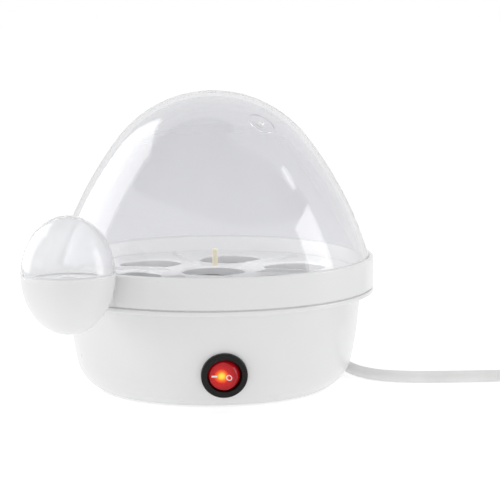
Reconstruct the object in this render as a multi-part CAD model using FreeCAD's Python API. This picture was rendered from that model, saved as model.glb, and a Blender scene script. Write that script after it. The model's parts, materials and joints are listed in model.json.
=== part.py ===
import FreeCAD, Part
import math
import os

from FreeCAD import Matrix, Placement, Rotation, Vector

# Egg cooker: round base with a water dish, a lift-out egg tray with a side pod, and a clear dome lid.
# Millimetres. +Z is up, the table is z = 0, the dome's axis is the Z axis and the switch faces -Y.

# Shared fits
LIFT_GAP = 0.4            # radial gap between pieces that lift apart
SEAT_GAP = 0.1            # gap between pieces that are fixed together
RUN_FIT = 0.05            # radial running fit of the rocker's pivot
HOLE_GAP = 0.2            # radial gap round a screw, a stud or a body in its hole
FULL_ROUND = 0.9          # share of a thin rim's half thickness, or of a tip's radius, that is rounded
BEND_SHARE = 0.45         # share of the shorter run that a bend in a tube takes up
PIPE_SLACK = 0.01         # volume error of a swept tube that is reported
TINY = 1e-6

# Base housing
SEAM_HEIGHT = 55.9        # seam between base and tray
FLANGE_THICKNESS = 2.5
BASE_RADIUS = 82.5        # outer wall just under the flange
FLANGE_REACH = 7.5        # the flange, and the tray's collar on it, beyond the wall
BASE_WALL = 2.5
FLANK_TILT_TOP = 3.0      # the wall's lean under the flange, degrees from vertical
FLANK_TILT_LOW = 12.0     # its lean where the foot round starts
FOOT_ROUND = 21.5         # radius of the foot round
FOOT_TILT = 65.0          # lean at the bottom edge
FOOT_STAND = 1.0          # the foot ring lifts the housing this far off the table
LEDGE_WIDTH = 8.5         # inner ledge that carries the heating plate
LEDGE_DROP = 7.9          # ledge below the seam
LEDGE_THICKNESS = 2.5
EDGE_ROUND = 0.8          # small rounds on moulded edges

# Bottom cover and foot
COVER_THICKNESS = 2.2
COVER_GAP = 0.4
FOOT_RING_INSET = 7.2     # middle of the foot ring inside the cover's edge
FOOT_RING_WIDTH = 5.0
FOOT_RING_SEAT = 1.0      # depth of the groove in the cover
PILLAR_INSET = 16.2       # screw pillars of the housing inside the cover's edge
PILLAR_RADIUS = 4.0
PILLAR_HEIGHT = 16.0
PILLAR_RIB = 2.0
PILLAR_ANGLES = (45.0, 135.0, 225.0, 315.0)
SCREW_RADIUS = 1.5
SCREW_LENGTH = 11.0
SCREW_HEAD_RADIUS = 3.0
SCREW_HEAD_HEIGHT = 1.4

# Heating plate
GASKET_THICKNESS = 1.0
PLATE_THICKNESS = 1.5
PLATE_THROAT_GAP = 1.0    # dish inside the ledge
DISH_DEPTH = 9.0
DISH_TAPER = 6.0          # the dish narrows by this much at its floor
DISH_ROUND = 3.0
RIM_STUD_INSET = 3.0      # studs outside the ledge's inner edge
RIM_STUD_ANGLES = (30.0, 150.0, 270.0)
STUD_RADIUS = 1.75
RIM_STUD_LENGTH = 9.0
NUT_FLATS = 6.0
NUT_HEIGHT = 2.6

# Heating element under the plate
ELEMENT_RADIUS = 40.0
ELEMENT_TUBE = 3.3
ELEMENT_OPENING = 60.0    # open part of the ring, at the rear
ELEMENT_BEND = 8.0
ELEMENT_LEG = 5.0
ELEMENT_PIN_RADIUS = 1.3
ELEMENT_PIN_LENGTH = 5.0
CLIP_ANGLES = (160.0, 225.0, 315.0, 380.0)   # clear of the switch's terminals at the front
CLIP_STUD_INSET = 9.0     # studs inside the ring
CLIP_WIDTH = 9.0
CLIP_THICKNESS = 1.2
INNER_STUD_LENGTH = 12.5

# Thermostat and its bracket
THERMOSTAT_CAP_RADIUS = 9.5
THERMOSTAT_CAP_HEIGHT = 3.0
THERMOSTAT_RADIUS = 7.5
THERMOSTAT_HEIGHT = 7.0
BRACKET_STUD_SPAN = 44.0
BRACKET_WIDTH = 20.0
BRACKET_THICKNESS = 1.0
EARTH_STUD = (0.0, 24.0)
EARTH_TAG_REACH = 11.0
EARTH_TAG_WIDTH = 3.0
BLADE_WIDTH = 6.3
BLADE_THICKNESS = 0.8
BLADE_LENGTH = 8.0
THERMOSTAT_BLADE_X = 4.5

# Wiring
WIRE_RADIUS = 1.1
WIRE_LEAD = 6.0           # straight run where a wire leaves a terminal
FEED_WAY = ((16.0, -8.0, 9.7), (12.0, -26.0, 20.0))   # block to switch, mirrored for the other side
SWITCHED_WAY = (1.5, -18.0, 15.0)
FUSE_WAY_IN = (-14.0, 0.0, 17.0)
FUSE_WAY_OUT = (-18.0, 37.6, 12.6)
FUSE_SPOT = (-22.0, 15.0, 18.0)
FUSE_RADIUS = 2.2
FUSE_LENGTH = 12.0
BLOCK_Y = 26.0            # terminal block on the bottom cover
BLOCK_LENGTH = 30.0
BLOCK_WIDTH = 15.0
BLOCK_HEIGHT = 11.0
BLOCK_POLE_PITCH = 10.0
BLOCK_POLE_RADIUS = 1.6

# Rocker switch on the front wall
SWITCH_Z = 20.0
BEZEL_RADIUS = 12.5
BEZEL_PROUD = 2.2
BEZEL_ROUND = 1.0
SWITCH_BODY_RADIUS = 10.0
SWITCH_DEPTH = 23.0
POCKET_RADIUS = 9.0
POCKET_DEPTH = 13.0
ROCKER_GAP = 0.3
ROCKER_TRAVEL = 20.0      # degrees from on to off
ROCKER_CREST = 3.6        # crease of the rocker's face above its pivot
ROCKER_UNDER = 3.5
ROCKER_WELL_RADIUS = 5.5
ROCKER_ROOF = 2.2
PIVOT_DEPTH = 2.0
PIVOT_RADIUS = 1.3
LAMP_RADIUS = 2.2
LAMP_GAP = 2.0            # lamp's tip below the pivot
SWITCH_BLADE_PITCH = 6.5

# Mains lead entry at the rear
GLAND_Z = 12.0
GLAND_BOSS_RADIUS = 9.5
GLAND_BOSS_PROUD = 0.5    # the boss's face beyond the wall above it
GLAND_BOSS_DEPTH = 9.0
GLAND_NECK_RADIUS = 5.6
GLAND_COLLAR_RADIUS = 7.0
GLAND_COLLAR_LENGTH = 3.0
GLAND_TIP_RADIUS = 4.6
GLAND_LENGTH = 20.5
GLAND_RIBS = 4
GLAND_GROOVE = 0.4        # share of each rib's step
CORD_RADIUS = 3.4
CLAMP_INSET = 21.2        # middle of the clamp inside the boss's face
CLAMP_WIDTH = 8.0
CLAMP_SPAN = 15.0
CLAMP_BAR_LENGTH = 23.0
CLAMP_BAR_HEIGHT = 5.7
CLAMP_POST_RADIUS = 3.6
SHEATH_PAST_CLAMP = 6.0   # the sheath's cut end beyond the middle of the clamp
CORE_SPREAD = 2.25

# Egg tray
COLLAR_HEIGHT = 17.9
COLLAR_WALL = 2.2
TRAY_FLOOR_DROP = 9.3     # egg floor below the rim
TRAY_FLOOR = 2.0
SKIRT_WALL = 2.0
SKIRT_DEPTH = 4.2         # skirt below the seam
SEAM_RELIEF = 0.8         # shadow line under the collar
SEAM_RELIEF_DEPTH = 1.4
EGG_HOLES = 6             # in the ring, with one more in the middle
EGG_HOLE_RADIUS = 17.85
EGG_EDGE_GAP = 9.35       # between the outer holes' lips and the skirt
EGG_RING_ANGLE = 15.0
EGG_LIP_WALL = 1.5
EGG_LIP_DEPTH = 3.0
EGG_HOLE_BEVEL = 0.9
RIB_START_GAP = 6.15      # ribs start this far outside the middle hole
RIB_END_GAP = 11.8        # and end this far inside the collar
RIB_WIDTH = 2.6
RIB_HEIGHT = 1.6
RIB_SLOPE = 6.0
POST_GAP = 4.15           # the post's axis outside the middle hole
POST_ANGLE = 84.0
POST_RADIUS = 1.6
POST_HEIGHT = 10.0

# Dome lid
DOME_APEX = 166.5
DOME_WALL = 3.4
DOME_CAP_RADIUS = 67.0
DOME_FLANK_RADIUS = 200.0
VENT_ANGLE = 46.0
VENT_TILT = 44.0          # degrees from the dome's axis
VENT_RING_RADIUS = 8.6
VENT_RING_PROUD = 1.0
VENT_RADIUS = 2.2

# Side pod: white holder, piercer and clear measuring cup
POD_RADIUS = 24.9
POD_HALF_HEIGHT = 31.5
POD_RISE = 2.2            # the split between holder and cup above the collar's rim
POD_GAP = 0.6             # between the pod and the collar
POD_ANGLE = 225.0
HOLDER_WALL = 2.0
CUP_WALL = 1.8
CUP_RIM = 0.5
CUP_RIM_HEIGHT = 1.2
SPIGOT_HEIGHT = 1.6
SPIGOT_WALL = 1.2
PIERCER_DROP = 2.6        # piercer plate below the split
PIERCER_THICKNESS = 1.8
PIERCER_LEDGE = 3.2
PIERCER_BOSS_RADIUS = 4.0
PIERCER_BOSS_HEIGHT = 2.0
NEEDLE_RADIUS = 0.6
NEEDLE_HEIGHT = 6.0
NEEDLE_TIP = 2.5
NECK_WIDTH = 16.0
NECK_FOOT = 1.1           # neck's lower face above the seam
NECK_DROP = 3.8           # neck's upper face below the collar's rim
NECK_ROUND = 1.5
POD_SCREW_LENGTH = 9.0
POD_SCREW_HEAD_RADIUS = 2.4

# Mains lead on the table from the gland, coil of the spare length, and plug
CORD_ROUTE = (
    (0.0, 124.0, 12.0), (14.4, 143.8, 10.4), (37.7, 151.4, 8.6), (61.0, 143.8, 7.2),
    (75.4, 124.0, 6.2), (75.8, 88.0, 5.6), (74.8, 43.9, 5.2), (78.1, 12.1, 4.6),
    (87.9, -3.0, 3.7), (103.5, -12.0, 3.5), (131.0, -15.2, 3.5), (158.5, -17.6, 3.8),
    (187.0, -21.1, 4.65), (212.0, -23.5, 4.65),
)
COIL_HEADING = -5.5       # the lead's heading where the coil starts, degrees
COIL_RADIUS = 41.5        # outermost turn
COIL_PITCH = 7.3          # between neighbour turns and between the two layers
COIL_QUARTERS = 9         # quarter turns in the coil
COIL_CLIMB = 0.5          # turns over which the coil climbs to its upper layer
COIL_GAP_WANTED = 0.4
TAIL_RUNS = ((84.5, 18.0), (88.0, 24.0), (91.0, 18.0))   # heading and run, from the coil to the plug
TIE_QUARTER = 2.5         # the tie's place along the coil, in quarter turns
TIE_WIDTH = 8.0
TIE_THICKNESS = 0.8
TIE_GAP = 0.9
PLUG_RADIUS = 18.5
PLUG_FLATS = 33.0         # width across the two earth flats
PLUG_FACE_LENGTH = 15.0
PLUG_GRIP_RADIUS = 11.0
PLUG_GRIP_SWELL = 12.7    # grip where it meets the shoulder
PLUG_GRIP_LENGTH = 20.0
PLUG_RELIEF_RADIUS = 5.0
PLUG_RELIEF_ROOT = 6.5
PLUG_RELIEF_LENGTH = 16.0
PLUG_ROUND = 2.0
PIN_RADIUS = 2.4
PIN_LENGTH = 19.0
PIN_SPACING = 19.0
PIN_ROOT = 6.0            # pin inside the plug's body
PIN_ROOT_RADIUS = 1.9
EARTH_CLIP_WIDTH = 4.0
EARTH_CLIP_THICKNESS = 0.8
EARTH_CLIP_LENGTH = 12.0

# Heights and radii that follow from the sizes above
FLANGE_UNDER = SEAM_HEIGHT - FLANGE_THICKNESS
COLLAR_RADIUS = BASE_RADIUS + FLANGE_REACH
MOUTH_RADIUS = BASE_RADIUS - BASE_WALL
LEDGE_INNER = MOUTH_RADIUS - LEDGE_WIDTH
RIM_STUD_CIRCLE = LEDGE_INNER + RIM_STUD_INSET
LEDGE_TOP = SEAM_HEIGHT - LEDGE_DROP
LEDGE_UNDER = LEDGE_TOP - LEDGE_THICKNESS
COVER_TOP = FOOT_STAND + COVER_THICKNESS
PLATE_UNDER = LEDGE_TOP + GASKET_THICKNESS
PLATE_TOP = PLATE_UNDER + PLATE_THICKNESS
DISH_UNDER = PLATE_UNDER - DISH_DEPTH
RIM_TOP = SEAM_HEIGHT + COLLAR_HEIGHT
TRAY_TOP = RIM_TOP - TRAY_FLOOR_DROP
TRAY_UNDER = TRAY_TOP - TRAY_FLOOR
COLLAR_INNER = COLLAR_RADIUS - COLLAR_WALL
SKIRT_RADIUS = MOUTH_RADIUS - LIFT_GAP
EGG_RING_RADIUS = SKIRT_RADIUS - SKIRT_WALL - EGG_EDGE_GAP - EGG_LIP_WALL - EGG_HOLE_RADIUS
RIB_INNER = EGG_HOLE_RADIUS + RIB_START_GAP
RIB_OUTER = COLLAR_INNER - RIB_END_GAP
POST_CIRCLE = EGG_HOLE_RADIUS + POST_GAP
POD_SPLIT = RIM_TOP + POD_RISE
POD_REACH = COLLAR_RADIUS + POD_GAP + POD_RADIUS
NECK_LOW = SEAM_HEIGHT + NECK_FOOT
NECK_HIGH = RIM_TOP - NECK_DROP
CLIP_STUD_CIRCLE = ELEMENT_RADIUS - CLIP_STUD_INSET
CLIP_REACH = ELEMENT_RADIUS + ELEMENT_TUBE + SEAT_GAP + CLIP_THICKNESS
DOME_RIM_RADIUS = COLLAR_INNER - LIFT_GAP
ELEMENT_Z = DISH_UNDER - ELEMENT_TUBE - SEAT_GAP
COIL_LOW = CORD_RADIUS + TIE_GAP / 2 + TIE_THICKNESS
POD_SCREW_Z = (SEAM_HEIGHT + TRAY_UNDER) / 2


def polar(radius, angle, z=0.0):
    """Point at a radius and an angle in degrees about the Z axis."""
    turn = math.radians(angle)
    return Vector(radius * math.cos(turn), radius * math.sin(turn), z)


def turned(shape, angle):
    """Copy of a shape turned about the Z axis."""
    copy = shape.copy()
    copy.rotate(Vector(), Vector(0, 0, 1), angle)
    return copy


def moved(shape, x, y, z=0.0):
    """Copy of a shape moved sideways and up."""
    copy = shape.copy()
    copy.translate(Vector(x, y, z))
    return copy


def rod(start, end, radius):
    """Round rod between two points."""
    span = end - start
    return Part.makeCylinder(radius, span.Length, start, span)


def disc(radius, low, high):
    """Upright cylinder on the Z axis."""
    return Part.makeCylinder(radius, high - low, Vector(0, 0, low))


def block(width, depth, low, high):
    """Upright block centred on the Z axis."""
    return Part.makeBox(width, depth, high - low, Vector(-width / 2, -depth / 2, low))


def joined(shapes):
    """One solid from shapes that overlap or touch."""
    return shapes[0].multiFuse(shapes[1:]).removeSplitter()


def rounded_face(points):
    """Face in the XZ plane through (x, z, corner radius) points, each corner rounded by its own arc."""
    corners = [Vector(x, 0, z) for x, z, _ in points]
    edges = []
    first = last = None
    for i, corner in enumerate(corners):
        radius = points[i][2]
        before = (corners[i - 1] - corner).normalize()
        after = (corners[(i + 1) % len(corners)] - corner).normalize()
        entry = leave = corner
        if radius > 0:
            half = math.acos(max(-1.0, min(1.0, before.dot(after)))) / 2
            reach = radius / math.tan(half)
            entry = corner + before * reach
            leave = corner + after * reach
        if last is None:
            first = entry
        elif (entry - last).Length > TINY:
            edges.append(Part.LineSegment(last, entry).toShape())
        if radius > 0:
            inward = (before + after).normalize()
            centre = corner + inward * (radius / math.sin(half))
            edges.append(Part.Arc(entry, centre - inward * radius, leave).toShape())
        last = leave
    edges.append(Part.LineSegment(last, first).toShape())
    return Part.Face(Part.Wire(edges))


def revolved(points):
    """Solid of revolution about Z from (radius, z, corner radius) points."""
    return rounded_face(points).revolve(Vector(), Vector(0, 0, 1), 360)


def slab(points, thickness):
    """Rounded outline in the XZ plane, extruded to both sides of it."""
    solid = rounded_face(points).extrude(Vector(0, thickness, 0))
    solid.translate(Vector(0, -thickness / 2, 0))
    return solid


def hex_nut(x, y, top):
    """Nut hung below a face at height top."""
    corners = [polar(NUT_FLATS / math.sqrt(3), 60 * i, top) for i in range(7)]
    nut = Part.Face(Part.makePolygon(corners)).extrude(Vector(0, 0, -NUT_HEIGHT))
    return moved(nut.cut(disc(STUD_RADIUS + SEAT_GAP, top - NUT_HEIGHT, top)), x, y)


def pan_screw(length, head_radius=SCREW_HEAD_RADIUS):
    """Screw along +Z with its head's bearing face at z = 0."""
    head = revolved([
        (0, -SCREW_HEAD_HEIGHT, 0), (head_radius, -SCREW_HEAD_HEIGHT, SCREW_HEAD_HEIGHT / 2),
        (head_radius, 0, 0), (0, 0, 0),
    ])
    return joined([head, disc(SCREW_RADIUS, -SCREW_HEAD_HEIGHT / 2, length)])


def tube(route, radius):
    """Round tube along straight runs joined by tangent arcs. Returns the solid and its bend radii."""
    points = [Vector(*p) for p in route]
    edges = []
    radii = []
    start = points[0]
    for before, corner, after in zip(points, points[1:], points[2:]):
        back = before - corner
        ahead = after - corner
        reach = BEND_SHARE * min(back.Length, ahead.Length)
        back.normalize()
        ahead.normalize()
        half = back.getAngle(ahead) / 2
        bend = reach * math.tan(half)
        radii.append(bend)
        inward = (back + ahead).normalize()
        middle = corner + inward * (bend / math.sin(half) - bend)
        edges.append(Part.LineSegment(start, corner + back * reach).toShape())
        edges.append(Part.Arc(corner + back * reach, middle, corner + ahead * reach).toShape())
        start = corner + ahead * reach
    edges.append(Part.LineSegment(start, points[-1]).toShape())
    return swept(edges, points[0], points[1] - points[0], radius), radii


def swept(edges, start, heading, radius):
    """Pipe of a circle along joined edges."""
    path = Part.Wire(edges)
    ring = Part.Wire([Part.Circle(start, heading, radius).toShape()])
    pipe = path.makePipeShell([ring], True, False)
    wanted = math.pi * radius ** 2 * path.Length
    if abs(pipe.Volume / wanted - 1) > PIPE_SLACK:
        print("pipe volume is off by", round(pipe.Volume / wanted - 1, 4))
    return pipe


# Base housing

def flank(offset=0.0):
    """The wall's two tangent arcs, moved inwards: centre and radius of the flank and of the foot round."""
    top, low, foot = (math.radians(a) for a in (FLANK_TILT_TOP, FLANK_TILT_LOW, FOOT_TILT))
    joint_z = FOOT_STAND + FOOT_ROUND * (math.sin(foot) - math.sin(low))
    radius = (FLANGE_UNDER - joint_z) / (math.sin(low) - math.sin(top))
    centre = Vector(BASE_RADIUS - radius * math.cos(top), 0, FLANGE_UNDER + radius * math.sin(top))
    share = radius - FOOT_ROUND
    foot_centre = centre + Vector(share * math.cos(low), 0, -share * math.sin(low))
    return centre, radius - offset, foot_centre, FOOT_ROUND - offset


def wall_point(z, offset=0.0):
    """Radius and lean, in radians, of the flank at a height."""
    centre, radius, _, _ = flank(offset)
    lean = math.asin((centre.z - z) / radius)
    return centre.x + radius * math.cos(lean), lean


def on_arc(centre, radius, lean):
    """Point of the wall's profile where the wall leans by an angle."""
    return centre + Vector(radius * math.cos(lean), 0, -radius * math.sin(lean))


def flank_edges(top_z, offset):
    """The wall's profile from a height down to the bottom edge."""
    centre, radius, foot_centre, foot_radius = flank(offset)
    top = math.asin((centre.z - top_z) / radius)
    low = math.radians(FLANK_TILT_LOW)
    foot = math.radians(FOOT_TILT)
    arcs = []
    for hub, size, first, last in ((centre, radius, top, low), (foot_centre, foot_radius, low, foot)):
        stops = [on_arc(hub, size, a) for a in (first, (first + last) / 2, last)]
        arcs.append(Part.Arc(*stops).toShape())
    return arcs


def outline_face(edges, corners):
    """Face of joined edges, closed by straight lines through the corner points."""
    stops = [edges[-1].Vertexes[-1].Point] + [Vector(x, 0, z) for x, z in corners]
    stops.append(edges[0].Vertexes[0].Point)
    lines = [Part.LineSegment(a, b).toShape() for a, b in zip(stops, stops[1:])]
    return Part.Face(Part.Wire(edges + lines))


def housing_block(offset):
    """The housing's outer form as a full solid, moved inwards by an offset."""
    arcs = flank_edges(FLANGE_UNDER, offset)
    low = arcs[-1].Vertexes[-1].Point.z
    face = outline_face(arcs, [(0, low), (0, FLANGE_UNDER)])
    return face.revolve(Vector(), Vector(0, 0, 1), 360)


def housing_shell():
    """Wall, ledge for the heating plate and flange."""
    outer = housing_block(0.0)
    arcs = flank_edges(LEDGE_UNDER, BASE_WALL)
    low = arcs[-1].Vertexes[-1].Point
    inside = outline_face(arcs, [(low.x, 0), (0, 0), (0, LEDGE_UNDER)])
    flange = revolved([
        (LEDGE_INNER, FLANGE_UNDER, 0), (COLLAR_RADIUS, FLANGE_UNDER, EDGE_ROUND),
        (COLLAR_RADIUS, SEAM_HEIGHT, EDGE_ROUND), (LEDGE_INNER, SEAM_HEIGHT, 0),
    ])
    shell = joined([outer, flange])
    shell = shell.cut(inside.revolve(Vector(), Vector(0, 0, 1), 360))
    shell = shell.cut(disc(MOUTH_RADIUS, LEDGE_TOP, SEAM_HEIGHT))
    return shell.cut(disc(LEDGE_INNER, LEDGE_UNDER, LEDGE_TOP))


def cover_radius():
    """The cover fills the housing's bottom opening."""
    centre, radius = flank(BASE_WALL)[2:]
    return on_arc(centre, radius, math.radians(FOOT_TILT)).x - COVER_GAP


def pillar_circle():
    """Radius of the circle that the screw pillars stand on."""
    return cover_radius() - PILLAR_INSET


def pillars():
    """Screw pillars, each with a rib out to the wall."""
    inside = housing_block(BASE_WALL / 2)
    parts = []
    for angle in PILLAR_ANGLES:
        post = moved(disc(PILLAR_RADIUS, COVER_TOP, COVER_TOP + PILLAR_HEIGHT), pillar_circle(), 0)
        reach = BASE_RADIUS - pillar_circle()
        rib = Part.makeBox(
            reach, PILLAR_RIB, PILLAR_HEIGHT - PILLAR_RADIUS,
            Vector(pillar_circle(), -PILLAR_RIB / 2, COVER_TOP + PILLAR_RADIUS),
        )
        parts.append(turned(joined([post, rib.common(inside)]), angle))
    return parts


def switch_place():
    """The switch's own frame: X to the right, Y up the wall, Z out of the wall."""
    radius, lean = wall_point(SWITCH_Z)
    out = Vector(0, -math.cos(lean), -math.sin(lean))
    right = Vector(1, 0, 0)
    up = out.cross(right)
    spot = Vector(0, -radius, SWITCH_Z)
    return Placement(Matrix(
        right.x, up.x, out.x, spot.x, right.y, up.y, out.y, spot.y,
        right.z, up.z, out.z, spot.z, 0, 0, 0, 1,
    ))


def at_switch(shape):
    """Copy of a shape put from the switch's own frame into place."""
    copy = shape.copy()
    copy.Placement = switch_place().multiply(copy.Placement)
    return copy


def gland_face():
    """Flat face of the rear boss, just clear of the wall above it."""
    return wall_point(GLAND_Z + GLAND_BOSS_RADIUS)[0] + GLAND_BOSS_PROUD


def gland_tip():
    """Outer end of the strain relief, where the lead comes free."""
    return gland_face() + GLAND_LENGTH


def along_lead(points):
    """Round solid about the lead's line through the rear wall, from (radius, y, corner radius) points."""
    solid = revolved(points)
    solid.rotate(Vector(), Vector(1, 0, 0), -90)
    return moved(solid, 0, 0, GLAND_Z)


def base_housing():
    """Bowl with its flange, ledge, pillars and rear boss, cut for the switch, the gland and the screws."""
    boss_back = gland_face() - GLAND_BOSS_DEPTH
    boss = along_lead([
        (0, boss_back, 0), (GLAND_BOSS_RADIUS, boss_back, 0),
        (GLAND_BOSS_RADIUS, gland_face(), EDGE_ROUND), (0, gland_face(), 0),
    ])
    shell = joined([housing_shell()] + pillars() + [boss])
    neck = GLAND_NECK_RADIUS + SEAT_GAP
    cuts = [at_switch(disc(SWITCH_BODY_RADIUS + HOLE_GAP, -SWITCH_DEPTH / 2, BEZEL_PROUD))]
    cuts.append(along_lead([
        (0, boss_back - GLAND_BOSS_DEPTH, 0), (neck, boss_back - GLAND_BOSS_DEPTH, 0),
        (neck, gland_face(), 0), (0, gland_face(), 0),
    ]))
    stud_hole = disc(STUD_RADIUS + HOLE_GAP, LEDGE_UNDER, LEDGE_TOP)
    for angle in RIM_STUD_ANGLES:
        spot = polar(RIM_STUD_CIRCLE, angle)
        cuts.append(moved(stud_hole, spot.x, spot.y))
    screw_hole = disc(SCREW_RADIUS + SEAT_GAP, COVER_TOP, COVER_TOP + SCREW_LENGTH)
    for angle in PILLAR_ANGLES:
        spot = polar(pillar_circle(), angle)
        cuts.append(moved(screw_hole, spot.x, spot.y))
    return shell.cut(Part.makeCompound(cuts))


# Bottom cover, foot ring and the pieces screwed to the cover

def foot_radius():
    """Radius of the foot ring's middle."""
    return cover_radius() - FOOT_RING_INSET


def clamp_y():
    """Middle of the lead's clamp."""
    return gland_face() - CLAMP_INSET


def clamp_posts():
    """Two posts on the cover that carry the lead's clamp."""
    posts = []
    for side in (-1, 1):
        post = disc(CLAMP_POST_RADIUS, FOOT_STAND, GLAND_Z - SEAT_GAP)
        posts.append(moved(post, side * CLAMP_SPAN / 2, clamp_y()))
    return posts


def bottom_cover():
    """Round floor with clamp posts, a groove for the foot ring and screw wells."""
    plate = revolved([
        (0, FOOT_STAND, 0), (cover_radius(), FOOT_STAND, EDGE_ROUND),
        (cover_radius(), COVER_TOP, 0), (0, COVER_TOP, 0),
    ])
    cover = joined([plate] + clamp_posts())
    groove = foot_band(FOOT_STAND, FOOT_STAND + FOOT_RING_SEAT)
    cuts = [groove]
    for angle in PILLAR_ANGLES:
        spot = polar(pillar_circle(), angle)
        hole = disc(SCREW_RADIUS + HOLE_GAP, FOOT_STAND, COVER_TOP)
        well = disc(SCREW_HEAD_RADIUS + HOLE_GAP, FOOT_STAND, screw_seat())
        cuts.append(moved(joined([hole, well]), spot.x, spot.y))
    for side in (-1, 1):
        hole = disc(SCREW_RADIUS + SEAT_GAP, COVER_TOP, GLAND_Z)
        cuts.append(moved(hole, side * CLAMP_SPAN / 2, clamp_y()))
    cuts.append(moved(disc(SCREW_RADIUS + SEAT_GAP, FOOT_STAND, COVER_TOP), 0, BLOCK_Y))
    return cover.cut(Part.makeCompound(cuts))


def screw_seat():
    """Height of the cover screws' bearing face, inside the cover."""
    return FOOT_STAND + SCREW_HEAD_HEIGHT


def foot_band(low, high):
    """Flat ring at the foot's radius."""
    outer = disc(foot_radius() + FOOT_RING_WIDTH / 2, low, high)
    return outer.cut(disc(foot_radius() - FOOT_RING_WIDTH / 2, low, high))


def foot_ring():
    """Soft ring in the cover's groove, which stands on the table."""
    inner = foot_radius() - FOOT_RING_WIDTH / 2 + SEAT_GAP
    outer = foot_radius() + FOOT_RING_WIDTH / 2 - SEAT_GAP
    top = FOOT_STAND + FOOT_RING_SEAT
    half_round = FOOT_STAND / 2
    return revolved([(inner, 0, half_round), (outer, 0, half_round), (outer, top, 0), (inner, top, 0)])


def cover_screws():
    """Screws through the cover into the housing's pillars."""
    spots = [polar(pillar_circle(), angle) for angle in PILLAR_ANGLES]
    screw = pan_screw(SCREW_LENGTH - SCREW_HEAD_HEIGHT)
    return Part.makeCompound([moved(screw, s.x, s.y, screw_seat()) for s in spots])


# Heating plate and what hangs under it

def inner_studs():
    """Studs under the dish: element clips, thermostat bracket and earth."""
    spots = [polar(CLIP_STUD_CIRCLE, angle) for angle in CLIP_ANGLES]
    spots += [Vector(side * BRACKET_STUD_SPAN / 2, 0, 0) for side in (-1, 1)]
    return spots + [Vector(*EARTH_STUD, 0)]


def heating_plate():
    """Water dish with a flat rim on the ledge, and the studs welded under it."""
    rim = MOUTH_RADIUS - LIFT_GAP
    throat = LEDGE_INNER - PLATE_THROAT_GAP - PLATE_THICKNESS
    floor = throat - DISH_TAPER
    outer_round = DISH_ROUND + PLATE_THICKNESS
    dish = revolved([
        (0, DISH_UNDER, 0), (floor + PLATE_THICKNESS, DISH_UNDER, outer_round),
        (throat + PLATE_THICKNESS, PLATE_UNDER, EDGE_ROUND), (rim, PLATE_UNDER, 0),
        (rim, PLATE_TOP, 0), (throat, PLATE_TOP, EDGE_ROUND + PLATE_THICKNESS),
        (floor, DISH_UNDER + PLATE_THICKNESS, DISH_ROUND), (0, DISH_UNDER + PLATE_THICKNESS, 0),
    ])
    studs = []
    for angle in RIM_STUD_ANGLES:
        spot = polar(RIM_STUD_CIRCLE, angle)
        studs.append(moved(disc(STUD_RADIUS, PLATE_UNDER - RIM_STUD_LENGTH, PLATE_TOP), spot.x, spot.y))
    for spot in inner_studs():
        stud = disc(STUD_RADIUS, DISH_UNDER - INNER_STUD_LENGTH, DISH_UNDER + PLATE_THICKNESS / 2)
        studs.append(moved(stud, spot.x, spot.y))
    return joined([dish] + studs)


def plate_gasket():
    """Flat seal between the ledge and the plate's rim."""
    ring = disc(MOUTH_RADIUS - LIFT_GAP, LEDGE_TOP, PLATE_UNDER)
    ring = ring.cut(disc(LEDGE_INNER, LEDGE_TOP, PLATE_UNDER))
    hole = disc(STUD_RADIUS + HOLE_GAP, LEDGE_TOP, PLATE_UNDER)
    spots = [polar(RIM_STUD_CIRCLE, angle) for angle in RIM_STUD_ANGLES]
    return ring.cut(Part.makeCompound([moved(hole, s.x, s.y) for s in spots]))


def plate_nuts():
    """Nuts that hold the plate down from under the ledge."""
    spots = [polar(RIM_STUD_CIRCLE, angle) for angle in RIM_STUD_ANGLES]
    return Part.makeCompound([hex_nut(s.x, s.y, LEDGE_UNDER) for s in spots])


def element_ends():
    """Angles of the ring's two ends, either side of the rear."""
    return 90 + ELEMENT_OPENING / 2, 450 - ELEMENT_OPENING / 2


def element_foot(end):
    """Lower end of the element's leg at its first or last end."""
    angle = element_ends()[end]
    side = 90 if end else -90
    spot = polar(ELEMENT_RADIUS, angle, ELEMENT_Z) + polar(ELEMENT_BEND, angle + side)
    return spot - Vector(0, 0, ELEMENT_BEND + ELEMENT_LEG)


def heating_element():
    """Tubular ring under the dish, open at the rear, with a leg and a pin at each end."""
    first, last = element_ends()
    stops = [polar(ELEMENT_RADIUS, a, ELEMENT_Z) for a in (first, (first + last) / 2, last)]
    ring = Part.Arc(*stops).toShape()
    down = Vector(0, 0, -1)
    legs = []
    pins = []
    for end, side in ((0, -90), (1, 90)):
        angle = element_ends()[end]
        top = polar(ELEMENT_RADIUS, angle, ELEMENT_Z)
        ahead = polar(1.0, angle + side)
        hub = top + down * ELEMENT_BEND
        knee = hub + ahead * ELEMENT_BEND
        middle = hub + (ahead - down).normalize() * ELEMENT_BEND
        foot = element_foot(end)
        legs.append((Part.Arc(top, middle, knee).toShape(), Part.LineSegment(knee, foot).toShape()))
        pins.append(rod(foot, foot + down * ELEMENT_PIN_LENGTH, ELEMENT_PIN_RADIUS))
    edges = [legs[0][1], legs[0][0], ring, legs[1][0], legs[1][1]]
    return joined([swept(edges, element_foot(0), down, ELEMENT_TUBE)] + pins)


def clip_under():
    """Lower face of the element's straps."""
    return ELEMENT_Z - ELEMENT_TUBE - SEAT_GAP - CLIP_THICKNESS


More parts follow.
